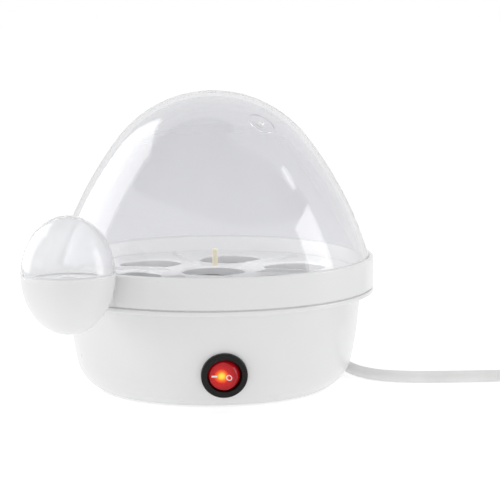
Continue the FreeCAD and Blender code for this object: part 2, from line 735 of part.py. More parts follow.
def element_clips():
    """Straps under the element, each hung on a stud inside the ring."""
    low = clip_under()
    top = low + CLIP_THICKNESS
    inner = CLIP_STUD_CIRCLE - CLIP_WIDTH / 2
    clips = []
    for angle in CLIP_ANGLES:
        strap = moved(block(CLIP_REACH - inner, CLIP_WIDTH, low, top), (CLIP_REACH + inner) / 2, 0)
        hook = block(CLIP_THICKNESS, CLIP_WIDTH, low, low + ELEMENT_TUBE)
        hook = moved(hook, CLIP_REACH - CLIP_THICKNESS / 2, 0)
        hole = moved(disc(STUD_RADIUS + HOLE_GAP, low, top), CLIP_STUD_CIRCLE, 0)
        clips.append(turned(joined([strap, hook]).cut(hole), angle))
    return Part.makeCompound(clips)


def bracket_top():
    """Bearing face of the thermostat's bracket."""
    return DISH_UNDER - THERMOSTAT_CAP_HEIGHT


def clip_nuts():
    """Nuts of the element clips, the thermostat bracket and the earth stud."""
    tops = [clip_under()] * len(CLIP_ANGLES) + [bracket_top() - BRACKET_THICKNESS] * 2
    tops.append(earth_tag_top() - BLADE_THICKNESS)
    return Part.makeCompound([hex_nut(s.x, s.y, top) for s, top in zip(inner_studs(), tops)])


def thermostat_foot():
    """Lower face of the thermostat's body."""
    return bracket_top() - THERMOSTAT_HEIGHT


def thermostat():
    """Disc thermostat against the dish's underside, with two blades."""
    cap = disc(THERMOSTAT_CAP_RADIUS, bracket_top(), DISH_UNDER)
    body = disc(THERMOSTAT_RADIUS, thermostat_foot(), bracket_top())
    parts = [cap, body]
    for side in (-1, 1):
        blade = block(BLADE_THICKNESS, BLADE_WIDTH, thermostat_foot() - BLADE_LENGTH, bracket_top())
        parts.append(moved(blade, side * THERMOSTAT_BLADE_X, 0))
    return joined(parts)


def thermostat_bracket():
    """Strap on two studs that presses the thermostat to the dish."""
    top = bracket_top()
    low = top - BRACKET_THICKNESS
    length = BRACKET_STUD_SPAN + BRACKET_WIDTH / 2
    strap = joined([block(length, BRACKET_WIDTH / 2, low, top), disc(BRACKET_WIDTH / 2, low, top)])
    cuts = [disc(THERMOSTAT_RADIUS + HOLE_GAP, low, top)]
    for side in (-1, 1):
        cuts.append(moved(disc(STUD_RADIUS + HOLE_GAP, low, top), side * BRACKET_STUD_SPAN / 2, 0))
    return strap.cut(Part.makeCompound(cuts))


# Rocker switch

def switch_blades(low, high, grow=0.0):
    """Three terminal blades, or the slots they fill, in the switch's own frame."""
    blade = block(BLADE_THICKNESS + 2 * grow, BLADE_WIDTH + 2 * grow, low, high)
    return Part.makeCompound([moved(blade, i * SWITCH_BLADE_PITCH, 0) for i in (-1, 0, 1)])


def switch_frame():
    """Bezel that follows the wall and a round body, with a pocket and pivot holes for the rocker."""
    bezel = revolved([
        (POCKET_RADIUS, -BEZEL_PROUD, 0), (BEZEL_RADIUS, -BEZEL_PROUD, 0),
        (BEZEL_RADIUS, BEZEL_PROUD, BEZEL_ROUND), (POCKET_RADIUS, BEZEL_PROUD, BEZEL_ROUND),
    ])
    back = housing_block(-SEAT_GAP)
    back.Placement = switch_place().inverse().multiply(back.Placement)
    body = disc(SWITCH_BODY_RADIUS, -SWITCH_DEPTH, BEZEL_PROUD / 2)
    pocket = disc(POCKET_RADIUS, -POCKET_DEPTH, BEZEL_PROUD)
    pivot = Vector(0, 0, -PIVOT_DEPTH)
    half = Vector(0, SWITCH_BODY_RADIUS, 0)
    pivot_hole = rod(pivot - half, pivot + half, PIVOT_RADIUS + RUN_FIT)
    frame = joined([bezel.cut(back), body.cut(pocket)]).cut(pivot_hole)
    return at_switch(frame.cut(switch_blades(-SWITCH_DEPTH, -POCKET_DEPTH, SEAT_GAP)))


def rocker_profile():
    """Rocker section with its face creased in the middle, about its pivot at the origin."""
    half = POCKET_RADIUS
    rise = half * math.tan(math.radians(ROCKER_TRAVEL / 2))
    return slab([
        (-half, -ROCKER_UNDER, 0), (half, -ROCKER_UNDER, 0), (half, ROCKER_CREST + rise, 0),
        (0, ROCKER_CREST, 0), (-half, ROCKER_CREST + rise, 0),
    ], 2 * half)


def switch_rocker():
    """Round rocker on two pivots, hollow over the lamp, tipped to its on position."""
    ball = Part.makeSphere(POCKET_RADIUS - ROCKER_GAP)
    well = disc(ROCKER_WELL_RADIUS, -ROCKER_UNDER, ROCKER_CREST - ROCKER_ROOF)
    half = Vector(0, SWITCH_BODY_RADIUS - HOLE_GAP, 0)
    rocker = joined([ball.common(rocker_profile()).cut(well), rod(-half, half, PIVOT_RADIUS).cut(well)])
    rocker.rotate(Vector(), Vector(0, 1, 0), -ROCKER_TRAVEL / 2)
    return at_switch(moved(rocker, 0, 0, -PIVOT_DEPTH))


def switch_lamp():
    """Round-tipped lamp on the pocket's floor."""
    tip = -PIVOT_DEPTH - LAMP_GAP
    return at_switch(revolved([
        (0, -POCKET_DEPTH, 0), (LAMP_RADIUS, -POCKET_DEPTH, 0),
        (LAMP_RADIUS, tip, LAMP_RADIUS * FULL_ROUND), (0, tip, 0),
    ]))


def switch_terminals():
    """Blades out of the switch's rear."""
    return at_switch(switch_blades(-SWITCH_DEPTH - BLADE_LENGTH, -POCKET_DEPTH - BLADE_THICKNESS))


def switch_tab(index):
    """Rear end of a switch terminal, where its wire starts."""
    return switch_place().multVec(Vector(index * SWITCH_BLADE_PITCH, 0, -SWITCH_DEPTH - BLADE_LENGTH))


# Mains lead entry

def cord_gland():
    """Strain relief: a neck through the boss, a collar outside and a ribbed, tapered sleeve."""
    bore = CORD_RADIUS + SEAT_GAP
    face = gland_face()
    root = face + GLAND_COLLAR_LENGTH
    points = [
        (bore, face - GLAND_BOSS_DEPTH, 0), (GLAND_NECK_RADIUS, face - GLAND_BOSS_DEPTH, 0),
        (GLAND_NECK_RADIUS, face, 0), (GLAND_COLLAR_RADIUS, face, 0),
        (GLAND_COLLAR_RADIUS, root, EDGE_ROUND),
    ]
    step = (gland_tip() - root) / GLAND_RIBS
    for i in range(GLAND_RIBS):
        radius = GLAND_NECK_RADIUS + (GLAND_TIP_RADIUS - GLAND_NECK_RADIUS) * i / (GLAND_RIBS - 1)
        groove_end = root + step * (i + GLAND_GROOVE)
        points += [(radius - EDGE_ROUND, root + step * i, 0), (radius - EDGE_ROUND, groove_end, 0)]
        points += [(radius, groove_end, 0), (radius, root + step * (i + 1), 0)]
    return along_lead(points + [(bore, gland_tip(), 0)])


def sheath_end():
    """Cut end of the lead's sheath inside the housing."""
    return clamp_y() - SHEATH_PAST_CLAMP


def sheath(radius):
    """Straight stretch of the lead from its cut end inside to the strain relief's tip."""
    return along_lead([
        (0, sheath_end(), 0), (radius, sheath_end(), 0), (radius, gland_tip(), 0), (0, gland_tip(), 0),
    ])


def cord_inner_end():
    """The lead's sheath through the gland and under the clamp."""
    return sheath(CORD_RADIUS)


def clamp_top():
    """Bearing face of the clamp's screws."""
    return GLAND_Z + CLAMP_BAR_HEIGHT


def cord_clamp():
    """Bar over the lead, hollowed to its round."""
    bar = moved(block(CLAMP_BAR_LENGTH, CLAMP_WIDTH, GLAND_Z, clamp_top()), 0, clamp_y())
    hole = disc(SCREW_RADIUS + HOLE_GAP, GLAND_Z, clamp_top())
    cuts = [moved(hole, side * CLAMP_SPAN / 2, clamp_y()) for side in (-1, 1)]
    return bar.cut(Part.makeCompound(cuts + [sheath(CORD_RADIUS + SEAT_GAP)]))


def clamp_screws():
    """Screws through the clamp into its posts."""
    screw = pan_screw(clamp_top() - COVER_TOP - SEAT_GAP)
    screw.rotate(Vector(), Vector(1, 0, 0), 180)
    spots = [Vector(side * CLAMP_SPAN / 2, clamp_y(), clamp_top()) for side in (-1, 1)]
    return Part.makeCompound([moved(screw, s.x, s.y, s.z) for s in spots])


# Terminal block and wires

def pole(x, side):
    """End of a wire at the block's front (-1) or rear (1) face."""
    return Vector(x, BLOCK_Y + side * BLOCK_WIDTH / 2, COVER_TOP + BLOCK_HEIGHT / 2)


def terminal_block():
    """Three-pole block on the cover with a screw well over each wire end."""
    body = moved(block(BLOCK_LENGTH, BLOCK_WIDTH, COVER_TOP, COVER_TOP + BLOCK_HEIGHT), 0, BLOCK_Y)
    cuts = [moved(disc(SCREW_RADIUS + HOLE_GAP, COVER_TOP, COVER_TOP + BLOCK_HEIGHT), 0, BLOCK_Y)]
    for index in (-1, 0, 1):
        screw_well = disc(BLOCK_POLE_RADIUS, COVER_TOP + BLOCK_HEIGHT / 2, COVER_TOP + BLOCK_HEIGHT)
        for side in (-1, 1):
            cuts.append(moved(screw_well, index * BLOCK_POLE_PITCH, BLOCK_Y + side * BLOCK_WIDTH / 4))
    return body.cut(Part.makeCompound(cuts))


def block_screw():
    """Screw that holds the block on the cover."""
    top = COVER_TOP + BLOCK_HEIGHT
    screw = pan_screw(top - FOOT_STAND - SEAT_GAP)
    screw.rotate(Vector(), Vector(1, 0, 0), 180)
    return moved(screw, 0, BLOCK_Y, top)


def wire(*stops):
    """Insulated wire through hand-set points."""
    return tube([(s.x, s.y, s.z) for s in stops], WIRE_RADIUS)[0]


def thermostat_tab(side):
    """Lower end of a thermostat blade."""
    return Vector(side * THERMOSTAT_BLADE_X, 0, thermostat_foot() - BLADE_LENGTH)


def element_pin(end):
    """Lower end of an element pin."""
    return element_foot(end) - Vector(0, 0, ELEMENT_PIN_LENGTH)


def earth_tag_top():
    """Bearing face of the earth tag under the dish."""
    return DISH_UNDER - PLATE_THICKNESS


def tab_lead(index):
    """Points of a wire that leaves a switch terminal straight."""
    inward = switch_place().Rotation.multVec(Vector(0, 0, -1))
    return [switch_tab(index), switch_tab(index) + inward * WIRE_LEAD]


def feed_wire(side):
    """Wire from an outer pole of the block to the switch's terminal on the same side."""
    start = pole(side * BLOCK_POLE_PITCH, -1)
    way = [Vector(side * x, y, z) for x, y, z in FEED_WAY]
    tab, lead = tab_lead(side)
    return wire(start, start - Vector(0, WIRE_LEAD, 0), *way, lead, tab)


def live_wire():
    """Live from the block to the switch."""
    return feed_wire(-1)


def lamp_wire():
    """Neutral from the block to the switch's lamp."""
    return feed_wire(1)


def switched_wire():
    """From the switch to the thermostat."""
    end = thermostat_tab(1)
    return wire(*tab_lead(0), Vector(*SWITCHED_WAY), end - Vector(0, 0, WIRE_LEAD), end)


def fuse_ends():
    """The fuse's two ends, on the way from the thermostat to the element."""
    half = Vector(0, FUSE_LENGTH / 2, 0)
    return Vector(*FUSE_SPOT) - half, Vector(*FUSE_SPOT) + half


def thermal_fuse():
    """Fuse in its sleeve."""
    return rod(*fuse_ends(), FUSE_RADIUS)


def element_wire():
    """Two lengths of wire, before and after the fuse."""
    low, high = fuse_ends()
    tab = thermostat_tab(-1)
    pin = element_pin(0)
    down = Vector(0, 0, -WIRE_LEAD)
    along = Vector(0, WIRE_LEAD, 0)
    first = wire(tab, tab + down, Vector(*FUSE_WAY_IN), low - along, low)
    second = wire(high, high + along, Vector(*FUSE_WAY_OUT), pin + down, pin)
    return Part.makeCompound([first, second])


def neutral_wire():
    """From the block's rear straight up to the element's other pin."""
    pin = element_pin(1)
    start = pole(pin.x, 1)
    return wire(start, Vector(pin.x, pin.y, start.z), pin)


def earth_wire():
    """Wire from the middle pole to a tag on the earth stud."""
    x, y = EARTH_STUD
    top = earth_tag_top()
    low = top - BLADE_THICKNESS
    eye = moved(disc(NUT_FLATS / 2, low, top), x, y)
    tail = moved(block(EARTH_TAG_WIDTH, EARTH_TAG_REACH, low, top), x, y - EARTH_TAG_REACH / 2)
    tag = joined([eye, tail]).cut(moved(disc(STUD_RADIUS + SEAT_GAP, low, top), x, y))
    start = pole(x, -1)
    corner = Vector(x, y - EARTH_TAG_REACH + EARTH_TAG_WIDTH / 2, start.z)
    return joined([tag, wire(start, corner, Vector(corner.x, corner.y, low + BLADE_THICKNESS / 2))])


def cord_cores():
    """Three cores from the sheath's end to the block."""
    cores = []
    for index in (-1, 0, 1):
        start = Vector(index * CORE_SPREAD, sheath_end(), GLAND_Z)
        end = pole(index * BLOCK_POLE_PITCH, 1)
        run = Vector(0, (start.y - end.y) / 3, 0)
        cores.append(wire(start, start - run, end + run, end))
    return Part.makeCompound(cores)


# Egg tray

def egg_spots():
    """Centres of the egg holes."""
    ring = [polar(EGG_RING_RADIUS, EGG_RING_ANGLE + 360 * i / EGG_HOLES) for i in range(EGG_HOLES)]
    return [Vector()] + ring


def tray_ring():
    """Collar, floor and skirt of the tray, before its holes."""
    rim_round = COLLAR_WALL / 2 * FULL_ROUND
    skirt_inner = SKIRT_RADIUS - SKIRT_WALL
    low = SEAM_HEIGHT - SKIRT_DEPTH
    relief = COLLAR_RADIUS - SEAM_RELIEF_DEPTH
    return revolved([
        (0, TRAY_TOP, 0), (COLLAR_INNER, TRAY_TOP, EDGE_ROUND), (COLLAR_INNER, RIM_TOP, rim_round),
        (COLLAR_RADIUS, RIM_TOP, rim_round), (COLLAR_RADIUS, SEAM_HEIGHT + SEAM_RELIEF, SEAM_RELIEF / 2),
        (relief, SEAM_HEIGHT + SEAM_RELIEF, 0), (relief, SEAM_HEIGHT, 0), (COLLAR_INNER, SEAM_HEIGHT, 0),
        (COLLAR_INNER, TRAY_UNDER, EDGE_ROUND), (SKIRT_RADIUS, TRAY_UNDER, EDGE_ROUND),
        (SKIRT_RADIUS, low, EDGE_ROUND),
        (skirt_inner, low, EDGE_ROUND), (skirt_inner, TRAY_UNDER, EDGE_ROUND), (0, TRAY_UNDER, 0),
    ])


def egg_hole():
    """Bevelled hole for one egg, as a solid to cut."""
    low = TRAY_UNDER - EGG_LIP_DEPTH
    return revolved([
        (0, low, 0), (EGG_HOLE_RADIUS, low, 0), (EGG_HOLE_RADIUS, TRAY_TOP - EGG_HOLE_BEVEL, 0),
        (EGG_HOLE_RADIUS + EGG_HOLE_BEVEL, TRAY_TOP, 0), (0, TRAY_TOP, 0),
    ])


def tray_ribs():
    """Raised ribs between the holes of the ring."""
    root = TRAY_TOP - TRAY_FLOOR / 2
    rib = slab([
        (RIB_INNER, root, 0), (RIB_OUTER, root, 0), (RIB_OUTER, TRAY_TOP, 0),
        (RIB_OUTER - RIB_SLOPE, TRAY_TOP + RIB_HEIGHT, 0), (RIB_INNER + RIB_SLOPE, TRAY_TOP + RIB_HEIGHT, 0),
        (RIB_INNER, TRAY_TOP, 0),
    ], RIB_WIDTH)
    half_step = 180 / EGG_HOLES
    return [turned(rib, EGG_RING_ANGLE + half_step * (2 * i + 1)) for i in range(EGG_HOLES)]


def egg_tray():
    """Collar with a floor of seven lipped holes, ribs, and holes for the post and the pod's screw."""
    lip = disc(EGG_HOLE_RADIUS + EGG_LIP_WALL, TRAY_UNDER - EGG_LIP_DEPTH, TRAY_TOP)
    lips = [moved(lip, s.x, s.y) for s in egg_spots()]
    post = polar(POST_CIRCLE, POST_ANGLE)
    cuts = [moved(egg_hole(), s.x, s.y) for s in egg_spots()]
    cuts.append(moved(disc(POST_RADIUS / 2 + SEAT_GAP, TRAY_UNDER, TRAY_TOP), post.x, post.y))
    hole_ends = [polar(r, POD_ANGLE, POD_SCREW_Z) for r in (COLLAR_INNER - COLLAR_WALL, COLLAR_RADIUS)]
    cuts.append(rod(*hole_ends, SCREW_RADIUS + HOLE_GAP))
    return joined([tray_ring()] + lips + tray_ribs()).cut(Part.makeCompound(cuts))


def tray_post():
    """Peg pressed into the tray behind the middle hole."""
    spot = polar(POST_CIRCLE, POST_ANGLE)
    top = TRAY_TOP + POST_HEIGHT
    peg = revolved([
        (0, TRAY_UNDER, 0), (POST_RADIUS / 2, TRAY_UNDER, 0), (POST_RADIUS / 2, TRAY_TOP, 0),
        (POST_RADIUS, TRAY_TOP, 0), (POST_RADIUS, top, POST_RADIUS * FULL_ROUND), (0, top, 0),
    ])
    return moved(peg, spot.x, spot.y)


# Dome lid

def dome_profile(inset, bevel):
    """Cap arc, flank arc and upright rim of the dome, moved inwards, as a face from the axis outwards."""
    cap = DOME_CAP_RADIUS
    span = DOME_FLANK_RADIUS - cap
    cap_centre = Vector(0, 0, DOME_APEX - cap)
    rim = Vector(DOME_RIM_RADIUS, 0, RIM_TOP)
    away = rim - cap_centre
    along = (DOME_FLANK_RADIUS ** 2 - span ** 2 - away.Length ** 2) / (2 * span)
    tilt = math.atan2(away.x, away.z) - math.acos(along / away.Length)
    unit = Vector(math.sin(tilt), 0, math.cos(tilt))
    flank_centre = cap_centre - unit * span
    rim_tilt = math.atan2(rim.x - flank_centre.x, rim.z - flank_centre.z)

    def spot(centre, radius, angle):
        """Point of an arc, an angle from upright."""
        return centre + Vector(math.sin(angle), 0, math.cos(angle)) * (radius - inset)

    top = [spot(cap_centre, cap, a) for a in (0.0, tilt / 2, tilt)]
    side = [spot(flank_centre, DOME_FLANK_RADIUS, a) for a in (tilt, (tilt + rim_tilt) / 2, rim_tilt)]
    edges = [Part.Arc(*top).toShape(), Part.Arc(*side).toShape()]
    edge = side[-1].x
    return outline_face(edges, [(edge, TRAY_TOP + bevel), (edge - bevel, TRAY_TOP), (0, TRAY_TOP)])


def dome_lid():
    """Clear dome with a raised steam vent."""
    axis = Vector(0, 0, 1)
    outer = dome_profile(0.0, EDGE_ROUND).revolve(Vector(), axis, 360)
    inner = dome_profile(DOME_WALL, EDGE_ROUND / 4).revolve(Vector(), axis, 360)
    tilt = math.radians(VENT_TILT)
    out = polar(math.sin(tilt), VENT_ANGLE, math.cos(tilt))
    hub = Vector(0, 0, DOME_APEX - DOME_CAP_RADIUS)
    root = hub + out * (DOME_CAP_RADIUS - DOME_WALL / 2)
    tip = hub + out * (DOME_CAP_RADIUS + VENT_RING_PROUD)
    ring = rod(root, tip, VENT_RING_RADIUS)
    hole = rod(hub + out * (DOME_CAP_RADIUS - 2 * DOME_WALL), tip, VENT_RADIUS)
    return joined([outer.cut(inner), ring.cut(inner)]).cut(hole)


# Side pod

def at_pod(shape):
    """Copy of a shape put from the pod's own axis into place, its X axis pointing away from the dome."""
    return turned(moved(shape, POD_REACH, 0, POD_SPLIT), POD_ANGLE)


def half_egg(radius, height):
    """Half of an egg's form on the plane z = 0, as a full solid. A negative height is below the plane."""
    pole_point = Vector(0, 0, height)
    side = Vector(radius, 0, 0)
    quarter = Part.ArcOfEllipse(Part.Ellipse(pole_point, side, Vector()), 0, math.pi / 2).toShape()
    lines = [Part.LineSegment(side, Vector()).toShape(), Part.LineSegment(Vector(), pole_point).toShape()]
    return Part.Face(Part.Wire([quarter] + lines)).revolve(Vector(), Vector(0, 0, 1), 360)


def spigot_inner():
    """Inner radius of the ring that locates the cup on its holder."""
    return POD_RADIUS - CUP_WALL - LIFT_GAP - SPIGOT_WALL


def pod_spigot():
    """Ring on top of the holder that the cup slips over."""
    outer = POD_RADIUS - CUP_WALL - LIFT_GAP
    root = POD_RADIUS - HOLDER_WALL / 2
    return revolved([
        (spigot_inner(), -HOLDER_WALL, 0), (root, -HOLDER_WALL, 0), (root, 0, 0), (outer, 0, 0),
        (outer, SPIGOT_HEIGHT, 0), (spigot_inner(), SPIGOT_HEIGHT, 0),
    ])


def pod_neck():
    """Neck from the pod to the collar's outside."""
    low = NECK_LOW - POD_SPLIT
    high = NECK_HIGH - POD_SPLIT
    start = COLLAR_INNER - POD_REACH
    neck = slab([(start, low, NECK_ROUND), (0, low, 0), (0, high, 0), (start, high, 0)], NECK_WIDTH)
    return neck.cut(moved(disc(COLLAR_RADIUS + SEAT_GAP, 2 * low, high), -POD_REACH, 0))


def pod_holder():
    """White lower half of the pod, with a ledge for the piercer and a neck screwed to the collar."""
    outside = half_egg(POD_RADIUS, -POD_HALF_HEIGHT)
    hollow = half_egg(POD_RADIUS - HOLDER_WALL, HOLDER_WALL - POD_HALF_HEIGHT)
    top = piercer_low()
    ledge = disc(POD_RADIUS, top - PIERCER_LEDGE, top)
    ledge = ledge.cut(disc(POD_RADIUS - HOLDER_WALL - PIERCER_LEDGE, top - PIERCER_LEDGE, top))
    body = joined([outside.cut(hollow), ledge.common(outside), pod_spigot(), pod_neck().cut(hollow)])
    screw_start = Vector(COLLAR_RADIUS - POD_REACH, 0, POD_SCREW_Z - POD_SPLIT)
    screw_end = screw_start + Vector(POD_SCREW_LENGTH, 0, 0)
    return at_pod(body.cut(rod(screw_start, screw_end, SCREW_RADIUS + SEAT_GAP)))


def piercer_low():
    """Lower face of the piercer plate."""
    return -PIERCER_DROP - PIERCER_THICKNESS


def pod_screw():
    """Screw from inside the collar into the pod's neck."""
    screw = pan_screw(POD_SCREW_LENGTH, POD_SCREW_HEAD_RADIUS)
    screw.rotate(Vector(), Vector(0, 1, 0), 90)
    seat = math.sqrt(COLLAR_INNER ** 2 - POD_SCREW_HEAD_RADIUS ** 2) - SEAT_GAP
    return turned(moved(screw, seat, 0, POD_SCREW_Z), POD_ANGLE)


def piercer_plate():
    """Disc under the cup with a boss for the needle."""
    low = piercer_low()
    plate = disc(spigot_inner() - LIFT_GAP, low, -PIERCER_DROP)
    boss = disc(PIERCER_BOSS_RADIUS, low, -PIERCER_DROP + PIERCER_BOSS_HEIGHT)
    return at_pod(joined([plate, boss]).cut(disc(NEEDLE_RADIUS + SEAT_GAP, low, PIERCER_BOSS_HEIGHT)))


def piercing_needle():
    """Needle that pierces an egg's end."""
    low = piercer_low()
    top = -PIERCER_DROP + PIERCER_BOSS_HEIGHT + NEEDLE_HEIGHT
    return at_pod(revolved([
        (0, low, 0), (NEEDLE_RADIUS, low, 0), (NEEDLE_RADIUS, top - NEEDLE_TIP, 0), (0, top, 0),
    ]))


def measuring_cup():
    """Clear upper half of the pod with a small rim."""
    inner = POD_RADIUS - CUP_WALL
    rim_radius = POD_RADIUS + CUP_RIM
    rim_round = CUP_RIM_HEIGHT / 3
    rim = revolved([
        (inner, 0, 0), (rim_radius, 0, rim_round), (rim_radius, CUP_RIM_HEIGHT, rim_round),
        (inner, CUP_RIM_HEIGHT, 0),
    ])
    hollow = half_egg(inner, POD_HALF_HEIGHT - CUP_WALL)
    return at_pod(joined([half_egg(POD_RADIUS, POD_HALF_HEIGHT), rim]).cut(hollow))


# Mains lead

def power_cord():
    """Lead from the strain relief round to the coil."""
    solid, radii = tube(((0, gland_tip(), GLAND_Z),) + CORD_ROUTE, CORD_RADIUS)
    print("lead bend radii", [round(r, 1) for r in radii])
    return solid


def coil_spot(quarters):
    """Centre line of the coil after some quarter turns: in on the lower layer, out on the upper one."""
    turns = quarters / 4
    total = COIL_QUARTERS / 4
    radius = COIL_RADIUS - COIL_PITCH * min(turns, total - turns)
    climb = min(1.0, max(0.0, (turns - total / 2) / COIL_CLIMB + 1 / 2))
    lift = climb * climb * (3 - 2 * climb)
    return coil_centre() + polar(radius, COIL_HEADING - 90 + 90 * quarters, COIL_LOW + COIL_PITCH * lift)


def coil_centre():
    """Centre of the coil, square to the lead's heading where the lead ends."""
    end = CORD_ROUTE[-1]
    lead_in = polar(2 * CORD_RADIUS, COIL_HEADING) + polar(COIL_RADIUS, COIL_HEADING + 90)
    return Vector(end[0] + lead_in.x, end[1] + lead_in.y, 0)


def coil_heading(quarters):
    """Unit tangent of the coil's centre line."""
    step = 0.01
    return (coil_spot(quarters + step) - coil_spot(quarters - step)).normalize()


def biarc(start, start_heading, end, end_heading):
    """Two tangent arcs from one point and heading to another."""
    span = end - start
    both = start_heading + end_heading
    square = 2 * start_heading.dot(end_heading) - 2
    linear = -2 * span.dot(both)
    reach = (-linear - math.sqrt(linear ** 2 - 4 * square * span.dot(span))) / (2 * square)
    first = start + start_heading * reach
    second = end - end_heading * reach
    middle = (first + second) * 0.5
    arcs = []
    for a, corner, b in ((start, first, middle), (middle, second, end)):
        chord = (a + b) * 0.5
        half = math.acos(min(1.0, (b - a).Length / 2 / reach))
        crown = corner + (chord - corner).normalize() * (reach * math.tan(half / 2))
        arcs.append(Part.Arc(a, crown, b).toShape())
    return arcs


def coil_ends():
    """First and last points of the coil with its straight ends."""
    first = coil_spot(0)
    last = coil_spot(COIL_QUARTERS)
    flat_start = polar(1.0, COIL_HEADING)
    flat_end = polar(1.0, COIL_HEADING + 90 * COIL_QUARTERS)
    return first - flat_start * 2 * CORD_RADIUS, first, last, last + flat_end * 2 * CORD_RADIUS


def cord_coil():
    """Spare length, coiled in two layers."""
    start, first, last, end = coil_ends()
    spots = [coil_spot(q) for q in range(COIL_QUARTERS + 1)]
    headings = [coil_heading(q) for q in range(COIL_QUARTERS + 1)]
    headings[0] = (first - start).normalize()
    headings[-1] = (end - last).normalize()
    edges = [Part.LineSegment(start, first).toShape()]
    for i in range(COIL_QUARTERS):
        edges += biarc(spots[i], headings[i], spots[i + 1], headings[i + 1])
    edges.append(Part.LineSegment(last, end).toShape())
    print_coil_gap(edges)
    return swept(edges, start, first - start, CORD_RADIUS)


def print_coil_gap(edges):
    """Least gap of the coil to itself, measured on points of its centre line."""
    path = Part.Wire(edges)
    step = CORD_RADIUS / 4
    points = path.discretize(Number=int(path.Length / step))
    skip = int(math.pi * COIL_RADIUS / step)
    gap = min((p - q).Length for i, p in enumerate(points) for q in points[i + skip:])
    print("coil length", round(path.Length, 1), "least gap", round(gap - 2 * CORD_RADIUS, 2),
          "wanted", COIL_GAP_WANTED)


def tail_route():
    """Lead from the coil up to the plug."""
    spot = coil_ends()[-1]
    route = [(spot.x, spot.y, spot.z)]
    heights = (spot.z, PLUG_FLATS / 2, PLUG_FLATS / 2)
    for (heading, run), z in zip(TAIL_RUNS, heights):
        ahead = polar(run, heading)
        route.append((route[-1][0] + ahead.x, route[-1][1] + ahead.y, z))
    return route


def cord_tail():
    """Last stretch of the lead, from the coil to the plug."""
    solid, radii = tube(tail_route(), CORD_RADIUS)
    print("tail bend radii", [round(r, 1) for r in radii])
    return solid


def cord_tie():
    """Flat band round the coil's two layers."""
    spot = coil_spot(TIE_QUARTER)
    height = COIL_PITCH + 2 * CORD_RADIUS + TIE_GAP
    width = 2 * CORD_RADIUS + TIE_GAP
    low = COIL_LOW - CORD_RADIUS - TIE_GAP / 2

    def band(grow):
        """Block that fills the band, grown on all sides."""
        half = width / 2 + grow
        corner = CORD_RADIUS / 2 + grow
        return slab([
            (-half, low - grow, corner), (half, low - grow, corner),
            (half, low + height + grow, corner), (-half, low + height + grow, corner),
        ], TIE_WIDTH)

    tie = turned(band(TIE_THICKNESS).cut(band(0.0)), COIL_HEADING - 90 + 90 * TIE_QUARTER)
    return moved(tie, spot.x, spot.y)


# Plug

def at_plug(shape):
    """Copy of a shape put from the plug's own frame, +Z to the pins and +X up, to the end of the lead."""
    route = tail_route()
    ahead = Vector(*route[-1]) - Vector(*route[-2])
    place = Placement(Vector(*route[-1]), Rotation(Vector(0, 0, 1), Vector(), ahead, "ZXY"))
    copy = shape.copy()
    copy.Placement = place.multiply(copy.Placement)
    return copy


def plug_face():
    """Distance from the plug's rear end to its front face."""
    return PLUG_RELIEF_LENGTH + PLUG_GRIP_LENGTH + PLUG_FACE_LENGTH


def plug_body():
    """Round two-pin plug with two flats, a grip and a tapered relief."""
    grip = PLUG_RELIEF_LENGTH
    shoulder = grip + PLUG_GRIP_LENGTH
    body = revolved([
        (0, 0, 0), (PLUG_RELIEF_RADIUS, 0, PLUG_ROUND / 2), (PLUG_RELIEF_ROOT, grip, PLUG_ROUND),
        (PLUG_GRIP_RADIUS, grip + PLUG_ROUND, PLUG_ROUND),
        (PLUG_GRIP_SWELL, shoulder - 2 * PLUG_ROUND, PLUG_ROUND), (PLUG_RADIUS, shoulder, PLUG_ROUND),
        (PLUG_RADIUS, plug_face(), PLUG_ROUND / 2), (0, plug_face(), 0),
    ])
    keep = block(PLUG_FLATS, 2 * PLUG_RADIUS + PLUG_ROUND, 0, plug_face())
    pin_hole = disc(PIN_ROOT_RADIUS + SEAT_GAP, plug_face() - PIN_ROOT, plug_face())
    cuts = [moved(pin_hole, 0, side * PIN_SPACING / 2) for side in (-1, 1)] + earth_slots(SEAT_GAP)
    return at_plug(body.common(keep).cut(Part.makeCompound(cuts)))


def earth_slots(grow):
    """The two side contacts, set flush in the plug's flats."""
    width = EARTH_CLIP_WIDTH + 2 * grow
    depth = EARTH_CLIP_THICKNESS + grow
    strip = Part.makeBox(
        depth, width, EARTH_CLIP_LENGTH + grow,
        Vector(PLUG_FLATS / 2 - depth, -width / 2, plug_face() - EARTH_CLIP_LENGTH - grow),
    )
    return [strip, turned(strip, 180)]


def plug_pins():
    """Two round pins with rounded tips."""
    face = plug_face()
    root = face - PIN_ROOT
    tip = face + PIN_LENGTH
    pin = revolved([
        (0, root, 0), (PIN_ROOT_RADIUS, root, 0), (PIN_ROOT_RADIUS, face, 0), (PIN_RADIUS, face, 0),
        (PIN_RADIUS, tip, PIN_RADIUS * FULL_ROUND), (0, tip, 0),
    ])
    return at_plug(Part.makeCompound([moved(pin, 0, side * PIN_SPACING / 2) for side in (-1, 1)]))


def plug_earth_clips():
    """Earth contacts in the plug's flats."""
    return at_plug(Part.makeCompound(earth_slots(0.0)))


NODES = (
    base_housing, bottom_cover, foot_ring, cover_screws,
    heating_plate, plate_gasket, plate_nuts, heating_element, element_clips, clip_nuts,
    thermostat, thermostat_bracket, thermal_fuse, terminal_block, block_screw,
    live_wire, switched_wire, lamp_wire, element_wire, neutral_wire, earth_wire,
    switch_frame, switch_rocker, switch_lamp, switch_terminals,
    cord_gland, cord_inner_end, cord_clamp, clamp_screws, cord_cores,
    egg_tray, tray_post, dome_lid, pod_holder, pod_screw, piercer_plate, piercing_needle, measuring_cup,
    power_cord, cord_coil, cord_tail, cord_tie, plug_body, plug_pins, plug_earth_clips,
)

